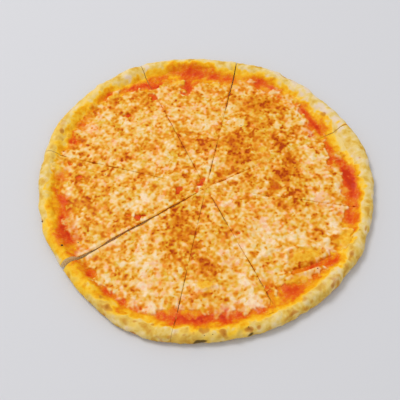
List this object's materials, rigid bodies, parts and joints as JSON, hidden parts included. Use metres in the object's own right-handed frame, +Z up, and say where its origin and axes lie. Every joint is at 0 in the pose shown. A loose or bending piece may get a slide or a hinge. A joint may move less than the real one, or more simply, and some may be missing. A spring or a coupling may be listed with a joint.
{
  "type": "margherita pizza",
  "caption": "Round thin pizza with tomato sauce and melted grated cheese, cut into wedge slices that still lie together as a whole.",
  "frame": {"origin": "middle of the flat underside, on the surface that the pizza rests on", "axes": "+Z up out of the cheese, -Y towards the near edge, +X to the right of it"},
  "size_m": [0.3213, 0.3175, 0.0134],
  "materials": {
    "crust": "baked flour dough, matt, with brown and charred spots",
    "sauce": "cooked tomato sauce, moist and slightly glossy",
    "cheese": "melted grated cheese, oily sheen, browned freckles"
  },
  "bodies": {
    "root": {"crust_1": "crust", "sauce_1": "sauce", "cheese_1": "cheese", "crust_2": "crust", "sauce_2": "sauce", "cheese_2": "cheese", "crust_3": "crust", "sauce_3": "sauce", "cheese_3": "cheese", "crust_4": "crust", "sauce_4": "sauce", "cheese_4": "cheese", "crust_5": "crust", "sauce_5": "sauce", "cheese_5": "cheese", "crust_6": "crust", "sauce_6": "sauce", "cheese_6": "cheese", "crust_7": "crust", "sauce_7": "sauce", "cheese_7": "cheese", "crust_8": "crust", "sauce_8": "sauce", "cheese_8": "cheese"}
  },
  "joints": []
}
